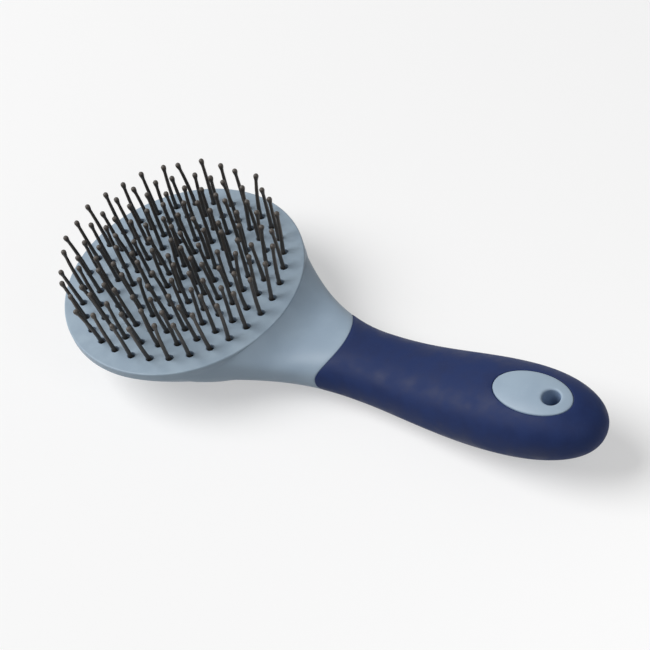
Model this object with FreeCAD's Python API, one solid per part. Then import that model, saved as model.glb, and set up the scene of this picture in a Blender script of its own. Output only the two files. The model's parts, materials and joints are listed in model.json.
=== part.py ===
"""Mane and tail pin brush: round head, domed back, soft-grip handle with a hanging hole.

The brush is drawn with the pin face flat at height 0 and the head's centre at x = 0, the
handle running along +X. It is then laid on its back, as it lies on a table: the flat foot of
the dome and the belly of the handle touch z = 0, and the pins point up.
"""
import FreeCAD
import Part
import math
import os

os.makedirs("parts", exist_ok=True)
Vec = FreeCAD.Vector
UP = Vec(0, 0, 1)

# ---------------------------------------------------------------- driving sizes, millimetres
# Head: a round lid with the pin holes on a domed bowl
HEAD_D = 96.0           # across the rim
HEAD_DEPTH = 26.0       # pin face to the lowest point of the domed back, before its flat
FOOT_D = 18.0           # flat spot on the domed back, which it lies on
BOWL_WALL = 2.6         # wall of the domed back
FACE_T = 2.2            # face plate where the pins come through
RIM_T = 1.6             # face plate at its outer lip, which rests on the bowl
RIM_ROUND = 0.6         # rounding of the lip's upper edge
WALL_DROP = 3.2         # pin face to where the head's upright wall turns in
SHOULDER_W = 3.2        # flat top of the bowl's wall, which the lip rests on
SPIGOT_H = 2.8          # ring under the face plate that drops into the bowl
SPIGOT_W = 1.5          # wall of that ring
FIT = 0.15              # clearance between parts that locate in each other

# Mat and clamping disc behind the face plate
MAT_T = 2.0
MAT_GAP = 0.3           # room round the mat and the disc
MAT_HOLE_GAP = 0.2      # room round a pin in the mat
DISC_T = 1.5
POST_D = 6.0            # posts in the bowl that carry the disc
POST_MARGIN = 21.0      # rim to the ring of posts
POSTS = 6

# Pins: one at the centre, then rings
RING_PINS = [6, 12, 18, 24, 28, 32]
PIN_MARGIN = 7.92       # rim to the outermost ring
HOLE_D = 3.0            # holes in the face plate
PIN_REACH = 21.0        # face plate to the end of the ball, along a pin
PIN_ROOT_D = 1.7
PIN_NECK_D = 1.05       # just below the ball
BALL_D = 2.15
PIN_HEAD_D = 3.0        # nail head that holds the pin behind the mat
PIN_HEAD_T = 0.7
FAN = 0.055             # outward lean over the pin's reach, per millimetre from the centre
WANDER = 0.9            # uneven lean of single pins, at the ball
STAND_X = -0.36         # the pins stand off the middle of their holes, towards the tip
STAND_Y = -0.22

# Handle outline: it leaves the head as a flare, narrows to a neck, and swells before its end
REACH = 178.0           # head centre to the end of the handle
NECK_X = 84.0           # head centre to the narrowest place
NECK_W = 28.0
NECK_T = 21.8
NECK_DROP = 17.3        # pin face to the middle of the neck
RISE_X = 95.5           # head centre to where the handle starts to bend up
SWELL_X = 140.0         # head centre to the widest place
SWELL_W = 35.2
SWELL_T = 27.4
END_DROP = 9.4          # pin face to the middle of the rounded end
END_FULLNESS = 2.3      # 2 is an ellipse, more is blunter
UPPER_FULLNESS = 2.3    # of the section's upper half
LOWER_FULLNESS = 2.0    # of the section's lower half
FLARE_X = 26.0          # head centre to where the flare leaves the dome's widest line
FLARE_DROP = 4.6        # pin face to that line
FLARE_FULLNESS = 1.3    # of the lower half there; 1 is a parabola, as the dome is
SCOOP_L = 14.0          # rim to the end of the scoop that runs round it
SCOOP_DROP = 1.7        # pin face to the top of the neck, right behind the rim
SCOOP_BOW = 2.4         # 1 is a straight scoop, more is steeper at the rim
ROOT_X = 2.0            # head centre to where the flare is rooted inside the dome

# Soft grip and the handle core inside it
GRIP_T = 2.4            # rubber over the core
GRIP_PROUD = 0.1        # how far the rubber stands above the bare neck
GRIP_X = 73.2           # head centre to the grip's edge, on the centre line
GRIP_EDGE_R = 21.5      # bow of that edge, seen from above
CORE_WALL = 3.0         # wall of the hollow core
HOLLOW_GAP = 2.0        # rim to the start of the hollow
HOLLOW_L = 77.0         # length of the hollow
CHANNEL_D = 9.0         # channel from the bowl into the hollow
OVAL_X = 152.0          # head centre to the middle of the bare oval
OVAL_L = 30.0
OVAL_W = 17.8
HANG_X = 159.3          # head centre to the hanging hole
HANG_D = 6.4
HANG_ROUND = 0.6        # rounding of the hole's two mouths

# How finely the handle's form is drawn
SECTION_POINTS = 32     # points round one section
SECTION_STEP = 7.0      # between sections, about
END_SECTIONS = 9        # sections in the rounded end
END_FLAT = 0.002        # share of the rounded end left flat at its very tip

# ---------------------------------------------------------------- sizes that follow
HEAD_R = HEAD_D / 2
RING_PITCH = (HEAD_R - PIN_MARGIN) / len(RING_PINS)
POST_RING = HEAD_R - POST_MARGIN
DOME_CURVE = (HEAD_DEPTH - WALL_DROP) / HEAD_R ** 2     # height of the dome per radius squared
FOOT_DROP = HEAD_DEPTH - DOME_CURVE * (FOOT_D / 2) ** 2
FLARE_R = math.sqrt((HEAD_DEPTH - FLARE_DROP) / DOME_CURVE)
FLARE_W = 2 * math.sqrt(FLARE_R ** 2 - FLARE_X ** 2)
HOLLOW_X = HEAD_R + HOLLOW_GAP
SPIGOT_SEAT_R = HEAD_R - SHOULDER_W
SPIGOT_R = SPIGOT_SEAT_R - FIT
LIP_INNER_R = SPIGOT_R - SPIGOT_W
MAT_R = LIP_INNER_R - MAT_GAP
MAT_TOP = -FACE_T
MAT_BOTTOM = MAT_TOP - MAT_T
DISC_BOTTOM = MAT_BOTTOM - DISC_T
SPIGOT_BOTTOM = -RIM_T - SPIGOT_H
OUTSIDE = 2 * REACH     # longer than anything, for cuts that go right through


def ease(u):
    """Smooth step from 0 to 1."""
    u = min(max(u, 0.0), 1.0)
    return u * u * (3 - 2 * u)


def between(start, stop, share):
    return start + (stop - start) * share


# ---------------------------------------------------------------- the handle's outline
def flare_way(x):
    """1 where the flare leaves the dome, falling evenly to 0 at the neck."""
    return min(max(NECK_X - x, 0.0) / (NECK_X - FLARE_X), 1.0)


def end_share(x):
    """1 up to the widest place, then rounding off to 0 at the end."""
    u = max(x - SWELL_X, 0.0) / (REACH - SWELL_X)
    return (1 - min(u, 1.0) ** END_FULLNESS) ** (1 / END_FULLNESS)


def swell_share(x):
    return ease((x - NECK_X) / (SWELL_X - NECK_X))


def half_width(x):
    full = between(NECK_W, SWELL_W, swell_share(x)) + (FLARE_W - NECK_W) * flare_way(x) ** 2
    return full / 2 * end_share(x)


def middle(x):
    """Height of the widest line."""
    drop = between(NECK_DROP, END_DROP, ease((x - RISE_X) / (REACH - RISE_X)))
    return -drop + (NECK_DROP - FLARE_DROP) * flare_way(x) ** 2


def half_depth(x):
    return between(NECK_T, SWELL_T, swell_share(x)) / 2 * end_share(x)


def top(x, y):
    """Height of the upper surface, before it rounds down to the sides."""
    if x >= NECK_X:
        return middle(x) + half_depth(x)
    neck_top = -NECK_DROP + NECK_T / 2
    scoop = min(max(HEAD_R + SCOOP_L - math.hypot(x, y), 0.0) / SCOOP_L, 1.0)
    return between(neck_top, -SCOOP_DROP, scoop ** SCOOP_BOW)


def bottom(x):
    """Height of the underside on the centre line."""
    if x >= NECK_X:
        return middle(x) - half_depth(x)
    neck_bottom = -NECK_DROP - NECK_T / 2
    return between(neck_bottom, -FOOT_DROP, (NECK_X - x) / NECK_X)


def low_fullness(x):
    """Fullness of the section's lower half: round at the neck, tucked in like the dome."""
    return between(LOWER_FULLNESS, FLARE_FULLNESS, flare_way(x))


def section(x, inset):
    """Closed outline across the handle at x, drawn inset from the surface."""
    mid = middle(x)
    half = half_width(x) - inset
    fall = mid - bottom(x) - inset
    points = []
    for i in range(SECTION_POINTS):
        turn = 2 * math.pi * i / SECTION_POINTS
        across = math.cos(turn)
        up = math.sin(turn)
        if up > 0:
            y = half * math.copysign(abs(across) ** (2 / UPPER_FULLNESS), across)
            z = (top(x, y) - mid - inset) * up ** (2 / UPPER_FULLNESS)
        else:
            y = half * across
            z = -fall * abs(up) ** (2 / low_fullness(x))
        points.append(Vec(x, y, mid + z))
    curve = Part.BSplineCurve()
    curve.interpolate(Points=points, PeriodicFlag=True)
    return Part.Wire(curve.toShape())


def even_places(start, stop):
    count = max(int(round((stop - start) / SECTION_STEP)), 2)
    return [between(start, stop, i / count) for i in range(count + 1)]


def handle_length(inset, start, stop):
    """A cut-off length of the handle's form, drawn inset from its surface."""
    return Part.makeLoft([section(x, inset) for x in even_places(start, stop)], True, False)


def handle_to_end(inset, start):
    """The handle's form from start to its rounded end, drawn inset from its surface."""
    wires = [section(x, inset) for x in even_places(start, SWELL_X)]
    full = REACH - SWELL_X
    for i in range(1, END_SECTIONS + 1):
        share = math.sin(math.pi / 2 * i / END_SECTIONS) if i < END_SECTIONS else 1 - END_FLAT
        x = SWELL_X + full * share
        wire = section(x, inset * end_share(x))
        wire.translate(Vec(-inset * share, 0, 0))
        wires.append(wire)
    return Part.makeLoft(wires, True, False)


# ---------------------------------------------------------------- round shapes
def disc(radius, low, high):
    return Part.makeCylinder(radius, high - low, Vec(0, 0, low))


def tube(outer, inner, low, high):
    return disc(outer, low, high).cut(disc(inner, low, high))


def upright(x, y, radius, low, high):
    return Part.makeCylinder(radius, high - low, Vec(x, y, low))


def dome(radius, rim_z, low_z):
    """Solid dome turned from a parabola, from its rim down to its lowest point on the axis."""
    curve = Part.BezierCurve()
    curve.setPoles([Vec(radius, 0, rim_z), Vec(radius / 2, 0, low_z), Vec(0, 0, low_z)])
    outline = [
        Part.LineSegment(Vec(0, 0, low_z), Vec(0, 0, rim_z)).toShape(),
        Part.LineSegment(Vec(0, 0, rim_z), Vec(radius, 0, rim_z)).toShape(),
        curve.toShape(),
    ]
    return Part.Face(Part.Wire(outline)).revolve(Vec(0, 0, 0), UP, 360)


def ring_places(radius, count, phase):
    turn = 2 * math.pi / count
    return [(radius * math.cos(turn * (i + phase)), radius * math.sin(turn * (i + phase)))
            for i in range(count)]


# ---------------------------------------------------------------- pins
def pin_rings():
    """Ring by ring, the places of the holes in the face plate. Ring 0 is the centre."""
    rings = [[(0.0, 0.0)]]
    for number, count in enumerate(RING_PINS, start=1):
        phase = 0.0 if number == 1 else 0.5
        rings.append(ring_places(number * RING_PITCH, count, phase))
    return rings


def numbered_pins():
    """Every pin as (ring, number, x, y), with numbers running on from ring to ring."""
    pins = []
    for row, places in enumerate(pin_rings()):
        for x, y in places:
            pins.append((row, len(pins), x, y))
    return pins


def pin_line(x, y, number):
    """A point of the pin's axis half way through the face plate, and its direction."""
    lean_x = FAN * x + WANDER * math.sin(2.4 * number + 0.6)
    lean_y = FAN * y + WANDER * math.sin(4.1 * number + 1.7)
    along = Vec(lean_x, lean_y, PIN_REACH).normalize()
    return Vec(x + STAND_X, y + STAND_Y, -FACE_T / 2), along


def at_height(line, z):
    through, along = line
    return through + along * ((z - through.z) / along.z)


def pin(x, y, number):
    """One pin: flat nail head behind the mat, tapering stem, ball at the end."""
    line = pin_line(x, y, number)
    along = line[1]
    root = at_height(line, MAT_BOTTOM + PIN_HEAD_T / 2)
    ball_centre = at_height(line, 0) + along * (PIN_REACH - BALL_D / 2)
    reach = ball_centre.distanceToPoint(root)
    stem = Part.makeCone(PIN_ROOT_D / 2, PIN_NECK_D / 2, reach, root, along)
    ball = Part.makeSphere(BALL_D / 2, ball_centre)
    head = upright(root.x, root.y, PIN_HEAD_D / 2, MAT_BOTTOM, MAT_BOTTOM + PIN_HEAD_T)
    return stem.fuse([ball, head]).removeSplitter().Solids[0]


def mat_hole(x, y, number):
    """Clearance in the mat: a round hole for the leaning stem and a pocket for the nail head."""
    line = pin_line(x, y, number)
    along = line[1]
    root = at_height(line, MAT_BOTTOM + PIN_HEAD_T / 2)
    centre = at_height(line, MAT_BOTTOM + MAT_T / 2)
    lean = MAT_T * math.hypot(along.x, along.y) / along.z
    hole_r = (PIN_ROOT_D + lean) / 2 + MAT_HOLE_GAP
    hole = upright(centre.x, centre.y, hole_r, MAT_BOTTOM, MAT_TOP)
    pocket = upright(root.x, root.y, PIN_HEAD_D / 2 + MAT_HOLE_GAP, MAT_BOTTOM,
                     MAT_BOTTOM + PIN_HEAD_T)
    return [hole, pocket]


# ---------------------------------------------------------------- the pieces
def face_plate():
    """Round lid with the pin holes, a thinner rounded lip, and a ring that locates it."""
    lip = disc(HEAD_R, -RIM_T, 0)
    plate = disc(SPIGOT_R, -FACE_T, 0)
    spigot = tube(SPIGOT_R, LIP_INNER_R, SPIGOT_BOTTOM, -FACE_T)
    lid = lip.fuse([plate, spigot]).removeSplitter()
    outer_edge = max((e for e in lid.Edges if e.BoundBox.ZMin > -RIM_T / 2),
                     key=lambda e: e.BoundBox.XLength)
    lid = lid.makeFillet(RIM_ROUND, [outer_edge])
    holes = [upright(x, y, HOLE_D / 2, -2 * FACE_T, FACE_T) for row, number, x, y in numbered_pins()]
    return lid.cut(Part.makeCompound(holes))


def pin_mat():
    """Soft rubber mat that the pins are pushed through from behind."""
    mat = disc(MAT_R, MAT_BOTTOM, MAT_TOP)
    for row, number, x, y in numbered_pins():
        for tool in mat_hole(x, y, number):
            mat = mat.cut(tool)
    return mat


def clamping_disc():
    """Stiff disc that keeps the nail heads in the mat."""
    return disc(MAT_R, DISC_BOTTOM, MAT_BOTTOM)


def grip_zone(inset):
    """The handle behind the bowed edge of the grip."""
    ahead = upright(GRIP_X - GRIP_EDGE_R, 0, GRIP_EDGE_R, -OUTSIDE, OUTSIDE)
    return handle_to_end(inset, GRIP_X - GRIP_EDGE_R / 2).cut(ahead)


def handle_core():
    """What the rubber is moulded over."""
    return handle_to_end(GRIP_T, GRIP_X - GRIP_EDGE_R)


def oval_column():
    """Upright oval column where the core shows through the grip, on both sides."""
    oval = Part.Ellipse(Vec(OVAL_X, 0, -OUTSIDE), OVAL_L / 2, OVAL_W / 2)
    return Part.Face(Part.Wire(oval.toShape())).extrude(UP * (2 * OUTSIDE))


def hand_grip():
    """Soft rubber sleeve moulded over the core, open at the oval on both sides."""
    return grip_zone(-GRIP_PROUD).cut(handle_core()).cut(oval_column())


def body_outside():
    """Domed back, flared neck, and the core with its ovals flush with the rubber."""
    back = dome(HEAD_R, -WALL_DROP, -HEAD_DEPTH).fuse(disc(HEAD_R, -WALL_DROP, -RIM_T))
    neck = handle_length(0, ROOT_X, NECK_X + NECK_T).cut(grip_zone(-2 * GRIP_PROUD))
    ovals = handle_to_end(-GRIP_PROUD, OVAL_X - OVAL_L).common(oval_column())
    return back.fuse([neck, handle_core(), ovals]).removeSplitter()


def body_inside():
    """Seats for the lid's ring and for the disc, the bowl, and the hollow of the handle."""
    spigot_seat = disc(SPIGOT_SEAT_R, SPIGOT_BOTTOM - FIT, 0)
    disc_seat = disc(MAT_R + MAT_GAP, DISC_BOTTOM, 0)
    bowl = dome(HEAD_R - BOWL_WALL, -WALL_DROP, -HEAD_DEPTH + BOWL_WALL)
    hollow = handle_length(GRIP_T + CORE_WALL, HOLLOW_X, HOLLOW_X + HOLLOW_L)
    channel = Part.makeCylinder(CHANNEL_D / 2, HOLLOW_X + CHANNEL_D, Vec(0, 0, middle(HOLLOW_X)),
                                Vec(1, 0, 0))
    return [spigot_seat, disc_seat, bowl, hollow, channel]


def disc_posts(back):
    """One post at the centre of the bowl and a ring of them, up to the clamping disc."""
    places = [(0.0, 0.0)] + ring_places(POST_RING, POSTS, 0.5)
    return [upright(x, y, POST_D / 2, -HEAD_DEPTH, DISC_BOTTOM).common(back) for x, y in places]


def brush_body():
    """Bowl of the head, neck and handle core in one moulding."""
    body = body_outside()
    for tool in body_inside():
        body = body.cut(tool)
    body = body.fuse(disc_posts(dome(HEAD_R, -WALL_DROP, -HEAD_DEPTH)))
    body = body.cut(upright(HANG_X, 0, HANG_D / 2, -OUTSIDE, OUTSIDE))
    return body.makeFillet(HANG_ROUND, [e for e in body.Edges if is_hang_mouth(e)])


def is_hang_mouth(edge):
    """True for the edges where the hanging hole comes out of the ovals."""
    box = edge.BoundBox
    in_hole = (max(-box.YMin, box.YMax) < HANG_D / 2 + FIT
               and max(HANG_X - box.XMin, box.XMax - HANG_X) < HANG_D / 2 + FIT)
    return in_hole and box.XLength > HANG_D / 2


# ---------------------------------------------------------------- laid on its back
def resting_points(tip):
    """Where the brush touches the table once tipped, under the head and the handle: (x, height)."""
    foot_x = -math.tan(tip) / (2 * DOME_CURVE)
    steps = 400
    xs = [between(NECK_X, REACH, i / steps) for i in range(steps)]
    belly_x = min(xs, key=lambda x: x * math.tan(tip) + bottom(x))
    return (foot_x, -FOOT_DROP), (belly_x, bottom(belly_x) - GRIP_PROUD)


def resting_tip():
    """Angle at which the line under the head and the handle is level."""
    tip = 0.0
    rounds = 8
    for _ in range(rounds):
        foot, belly = resting_points(tip)
        tip = math.atan2(foot[1] - belly[1], belly[0] - foot[0])
    return tip


def lay_down(shape):
    """Tips the brush onto its foot and belly, and centres it over the origin."""
    tip = resting_tip()
    foot = resting_points(tip)[0]
    low = foot[0] * math.sin(tip) + foot[1] * math.cos(tip)
    left = -HEAD_R * math.cos(tip) + RIM_ROUND * math.sin(tip)
    right = (REACH + GRIP_PROUD) * math.cos(tip) - middle(REACH) * math.sin(tip)
    placed = shape.copy()
    placed.rotate(Vec(0, 0, 0), Vec(0, 1, 0), -math.degrees(tip))
    placed.translate(Vec(-(left + right) / 2, 0, -low))
    return placed


def with_flat_foot(placed):
    """The domed back cut off flat where the table is."""
    below = Part.makeBox(2 * OUTSIDE, 2 * OUTSIDE, HEAD_DEPTH, Vec(-OUTSIDE, -OUTSIDE, -HEAD_DEPTH))
    return placed.cut(below)


def save(name, placed):
    placed.exportStep("parts/" + name + ".step")
    print(name, "solids", len(placed.Solids), "valid", placed.isValid(),
          "cm3", round(placed.Volume / 1000, 2))


print("tipped by degrees", round(math.degrees(resting_tip()), 3))
save("face_plate", lay_down(face_plate()))
save("pin_mat", lay_down(pin_mat()))
save("clamping_disc", lay_down(clamping_disc()))
save("hand_grip", lay_down(hand_grip()))
save("brush_body", with_flat_foot(lay_down(brush_body())))
for row in range(len(RING_PINS) + 1):
    pins = [pin(x, y, number) for r, number, x, y in numbered_pins() if r == row]
    name = "pin_ring_%d" % row if row else "centre_pin"
    save(name, lay_down(Part.makeCompound(pins)))
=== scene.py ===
# %% [markdown]
# # A mane and tail brush, lying on its back
#
# A hand brush for a horse's mane and tail is built from six kinds of pieces: a light plastic
# moulding that is bowl, neck and handle core in one, a round lid with 121 holes, a soft grip
# moulded over the handle, the pins, and behind the lid a mat and a disc that hold the pins.
# This lesson takes the rigid model of that brush as a fixed frame and dresses it: smooth skins,
# rounded lips, bent pins, and finishes that react to light as the real plastics do.

import json
import math

import bmesh
import bpy
from mathutils import Matrix, Vector
from mathutils.geometry import delaunay_2d_cdt


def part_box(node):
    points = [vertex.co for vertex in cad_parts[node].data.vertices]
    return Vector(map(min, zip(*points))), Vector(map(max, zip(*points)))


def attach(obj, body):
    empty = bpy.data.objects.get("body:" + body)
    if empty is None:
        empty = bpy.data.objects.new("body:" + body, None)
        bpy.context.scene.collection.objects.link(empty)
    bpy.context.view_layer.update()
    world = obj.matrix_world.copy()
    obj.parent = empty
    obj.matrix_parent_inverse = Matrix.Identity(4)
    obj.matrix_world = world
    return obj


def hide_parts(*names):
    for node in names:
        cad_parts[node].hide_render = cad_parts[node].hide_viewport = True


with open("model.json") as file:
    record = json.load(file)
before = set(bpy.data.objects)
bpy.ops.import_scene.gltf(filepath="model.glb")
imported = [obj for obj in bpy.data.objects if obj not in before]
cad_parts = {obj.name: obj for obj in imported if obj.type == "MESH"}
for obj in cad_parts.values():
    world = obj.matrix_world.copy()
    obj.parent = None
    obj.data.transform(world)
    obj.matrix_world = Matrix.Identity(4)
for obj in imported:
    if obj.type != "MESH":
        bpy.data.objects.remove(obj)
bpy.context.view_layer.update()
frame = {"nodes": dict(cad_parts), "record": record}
nodes = frame["nodes"]
print("frame nodes", sorted(nodes))

# %% [markdown]
# ## Sizes and the brush's own axes
#
# The shapes are easiest to write down with the pin face flat at height 0, the head's centre at
# x = 0 and the handle along +X, in millimetres. The brush really lies tipped by a couple of
# degrees on its domed back. So every mesh is made in the brush's own axes, and one function
# lays its points down in the frame, in metres.

# %% Sizes of the head, in millimetres
MM = 0.001
HEAD_R = 48.0
HEAD_DEPTH = 26.0
FOOT_R = 9.0
BOWL_WALL = 2.6
FACE_T = 2.2
RIM_T = 1.6
RIM_ROUND = 0.6
RIM_SOFT = 0.6
WALL_DROP = 3.2
SPIGOT_R = 44.65
SPIGOT_SEAT_R = 44.8
SPIGOT_BOTTOM = -4.4
LIP_INNER_R = 43.15
DISC_SEAT_R = 43.15
DISC_BOTTOM = -5.7
MAT_BOTTOM = -4.2
HOLE_R = 1.5
RING_PINS = [6, 12, 18, 24, 28, 32]
RING_PITCH = 6.68
print("pins in rings", sum(RING_PINS), "and one in the middle")

# %% Sizes of the neck and handle, in millimetres
REACH = 178.0
NECK_X, NECK_W, NECK_T, NECK_DROP = 84.0, 28.0, 21.8, 17.3
RISE_X = 95.5
SWELL_X, SWELL_W, SWELL_T = 140.0, 35.2, 27.4
END_DROP, END_FULLNESS = 9.4, 2.3
UPPER_FULLNESS, LOWER_FULLNESS, SHOULDER_FULLNESS = 2.3, 2.0, 9.0
FLARE_X, FLARE_BOW = 26.0, 2.2
SCOOP_L, SCOOP_DROP, SCOOP_BOW = 13.0, 0.12, 2.3
SEAT_GAP = 0.02
KEEL_BLEND = 25.0
GRIP_T, GRIP_PROUD, GRIP_X, GRIP_EDGE_R = 2.4, 0.1, 73.2, 21.5
GRIP_EDGE_SIDE = -1.0
OVAL_X, OVAL_L, OVAL_W = 152.0, 30.0, 17.8
HANG_X, HANG_R = 159.3, 3.2

DOME_CURVE = (HEAD_DEPTH - WALL_DROP) / HEAD_R ** 2
FOOT_DROP = HEAD_DEPTH - DOME_CURVE * FOOT_R ** 2
FLARE_W = 2 * math.sqrt(HEAD_R ** 2 - FLARE_X ** 2)
GRIP_EDGE_CENTRE = GRIP_X - GRIP_EDGE_R
print("flare width", round(FLARE_W, 1), "foot drop", round(FOOT_DROP, 2))

# %% How the brush lies: its tip, from the hanging hole, and its place, from the lid's box
hole_axis = frame["record"]["mounts"][0]["axis"]
TIP = math.atan2(-hole_axis[0], hole_axis[2])
_, lid_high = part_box("face_plate")
lid_flat_r = HEAD_R - RIM_ROUND
FACE_X = lid_high.x - (HEAD_R * math.cos(TIP) + RIM_T * math.sin(TIP)) * MM
FACE_Z = lid_high.z - (lid_flat_r * math.sin(TIP) + RIM_ROUND * (1 - math.cos(TIP))) * MM
LAID = (Matrix.Translation((FACE_X, 0, FACE_Z)) @ Matrix.Rotation(-TIP, 4, "Y")
        @ Matrix.Scale(MM, 4))
print("tip", round(math.degrees(TIP), 3), "face centre", round(FACE_X, 5), round(FACE_Z, 5))

# %% [markdown]
# ## Turning lists of points into meshes
#
# Nearly every piece here is a skin drawn through rings of points: rings across the handle,
# rings round the head's axis, rings along a pin. One helper stitches equal rings together and
# closes both ends, so that every mesh is a closed solid. It also marks an edge as sharp where
# the surface turns by more than a given angle, which keeps long curves smooth.


# %% Helpers: closed skins from rings
def mesh_of(name, points, faces):
    """A new mesh with outward normals."""
    mesh = bpy.data.meshes.new(name)
    mesh.from_pydata([tuple(p) for p in points], [], faces)
    cleaner = bmesh.new()
    cleaner.from_mesh(mesh)
    bmesh.ops.remove_doubles(cleaner, verts=cleaner.verts, dist=0.0005)
    bmesh.ops.recalc_face_normals(cleaner, faces=cleaner.faces)
    if cleaner.calc_volume(signed=True) < 0:
        bmesh.ops.reverse_faces(cleaner, faces=cleaner.faces)
    cleaner.to_mesh(mesh)
    cleaner.free()
    return mesh


def skin_through(rings):
    """Points and faces of a skin through equal rings, capped at both ends."""
    count = len(rings[0])
    points = [p for ring in rings for p in ring]
    faces = []
    last = (len(rings) - 1) * count
    for here in range(0, last, count):
        there = here + count
        for k in range(count):
            n = (k + 1) % count
            faces.append((here + k, here + n, there + n, there + k))
    for start, turn in ((0, -1), (last, 1)):
        centre = sum((points[start + k] for k in range(count)), Vector()) / count
        points.append(centre)
        for k in range(count):
            n = (k + turn) % count
            faces.append((start + k, start + n, len(points) - 1))
    return points, faces


triangles = [[Vector((0, 0, z)), Vector((1, 0, z)), Vector((0, 1, z))] for z in (0, 1)]
print("faces of a skin through two triangles", len(skin_through(triangles)[1]))


# %% Helpers: circles and turned skins
def spokes(count, ahead=0.0):
    """Cosine and sine of evenly spaced turns."""
    turns = [2 * math.pi * (k + ahead) / count for k in range(count)]
    return [(math.cos(a), math.sin(a)) for a in turns]


def circle(x, y, r, z, count):
    return [Vector((x + r * c, y + r * s, z)) for c, s in spokes(count)]


def turned(name, outline, count=96):
    """A skin turned round the head's axis from (radius, height) pairs, from the top down."""
    return mesh_of(name, *skin_through([circle(0, 0, r, z, count) for r, z in outline]))


print("points in a circle", len(circle(0, 0, 1, 0, 8)))

# %% [markdown]
# Some forms meet where no ring can follow the other, such as a round post on a dome. There one
# closed mesh is joined with another or cut by it. Blender's exact boolean takes longer than
# drawing rings, but it leaves true edges. A finished mesh is laid down in the frame once, last.


# %% Helpers: placing and carving
def in_scene(name, data):
    """A new object for a mesh, lamp or camera, put in the scene."""
    made = bpy.data.objects.new(name, data)
    bpy.context.scene.collection.objects.link(made)
    return made


def placed(name, mesh, sharp=35):
    """Puts a finished mesh in the scene, laid down in the frame, smooth up to the sharp angle."""
    mesh.transform(LAID)
    mesh.name = name
    for face in mesh.polygons:
        face.use_smooth = True
    mesh.set_sharp_from_angle(angle=math.radians(sharp))
    print(name, "vertices", len(mesh.vertices), "faces", len(mesh.polygons))
    return in_scene(name, mesh)


def carved(mesh, tool, how):
    """The first mesh joined with the tool, cut by it, or kept only inside it."""
    base, other = in_scene("base", mesh), in_scene("tool", tool)
    step = base.modifiers.new("carve", "BOOLEAN")
    step.operation = how
    step.solver = "EXACT"
    step.object = other
    shown = base.evaluated_get(bpy.context.evaluated_depsgraph_get())
    result = bpy.data.meshes.new_from_object(shown)
    for thing in (base, other):
        bpy.data.objects.remove(thing)
    for leftover in (mesh, tool):
        bpy.data.meshes.remove(leftover)
    return result


print("laid down by", [round(v, 4) for v in LAID.to_translation()])

# %% [markdown]
# ## The law of the outer form
#
# Head back, neck and handle are one flowing form. At every place x along it a cross-section is
# given by its half width, the height of its widest line, its top and its bottom. The upper half
# is a slightly squared ellipse. The lower half starts as the dome's parabola and grows rounder
# towards the neck. The same law with an inset gives the core under the grip, and with a
# negative inset the grip's own skin.


# %% Helpers: going smoothly from one value to another
def ease(u):
    u = min(max(u, 0.0), 1.0)
    return u * u * (3 - 2 * u)


def between(start, stop, share):
    return start + (stop - start) * share


print("halfway along an ease", ease(0.5))


# %% How wide the form is
def flare_way(x):
    """How far back x is from the neck to the flare, from 0 to 1."""
    return min(max(NECK_X - x, 0.0) / (NECK_X - FLARE_X), 1.0)


def end_way(x):
    """How far on x is from the swell to the end, from 0 to 1."""
    return max(x - SWELL_X, 0.0) / (REACH - SWELL_X)


def end_share(x):
    """What is left of the width and depth at the rounded end."""
    return (1 - min(end_way(x), 1.0) ** END_FULLNESS) ** (1 / END_FULLNESS)


def swell_share(x):
    return ease((x - NECK_X) / (SWELL_X - NECK_X))


def half_width(x):
    rim = math.sqrt(max(HEAD_R ** 2 - x ** 2, 0.0))
    full = between(NECK_W, SWELL_W, swell_share(x))
    full += (FLARE_W - NECK_W) * flare_way(x) ** FLARE_BOW
    return rim if x < FLARE_X else max(full / 2 * end_share(x), rim)


print("neck", round(2 * half_width(NECK_X), 1), "swell", round(2 * half_width(SWELL_X), 1))

# %% How high and deep the form is
SCOOP_OVER = 1.2


def middle(x):
    """Height of the widest line."""
    drop = between(NECK_DROP, END_DROP, ease((x - RISE_X) / (REACH - RISE_X)))
    return -drop + (NECK_DROP - WALL_DROP) * flare_way(x) ** 2


def half_depth(x):
    return between(NECK_T, SWELL_T, swell_share(x)) / 2 * end_share(x)


def top(x, y):
    """Height of the upper skin before it rounds down to the sides. A scoop runs round the rim."""
    if x >= NECK_X:
        return middle(x) + half_depth(x)
    scoop = min(max(HEAD_R + SCOOP_L - math.hypot(x, y), 0.0) / SCOOP_L, SCOOP_OVER)
    return between(-NECK_DROP + NECK_T / 2, -SCOOP_DROP, scoop ** SCOOP_BOW)


def bottom(x):
    if x >= NECK_X:
        return middle(x) - half_depth(x)
    if x <= 0:
        return -HEAD_DEPTH + DOME_CURVE * x ** 2
    straight = between(-FOOT_DROP, -NECK_DROP - NECK_T / 2, x / NECK_X)
    return straight - (HEAD_DEPTH - FOOT_DROP) * max(1 - x / KEEL_BLEND, 0.0) ** 2


def up_fullness(x):
    return between(UPPER_FULLNESS, SHOULDER_FULLNESS, flare_way(x) ** 2.2)


def low_fullness(x):
    return between(1.0, LOWER_FULLNESS, min(max(x / NECK_X, 0.0), 1.0))


print("depth at the neck", round(top(NECK_X, 0) - bottom(NECK_X), 1))


# %% Points of the skin
def on_skin(x, turn, inset):
    """A point of the section at x, inset from the skin."""
    inset_here = inset * end_share(x)
    across, up = math.cos(turn), math.sin(turn)
    half = max(half_width(x) - inset_here, 0.0)
    mid = middle(x)
    if up > 0:
        y = half * math.copysign(abs(across) ** (2 / up_fullness(x)), across)
        z = max(top(x, y) - mid - inset_here, 0.0) * up ** (2 / up_fullness(x))
    else:
        y = half * across
        z = -max(mid - bottom(x) - inset_here, 0.0) * abs(up) ** (2 / low_fullness(x))
    return Vector((x - inset * end_way(x), y, mid + z))


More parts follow.
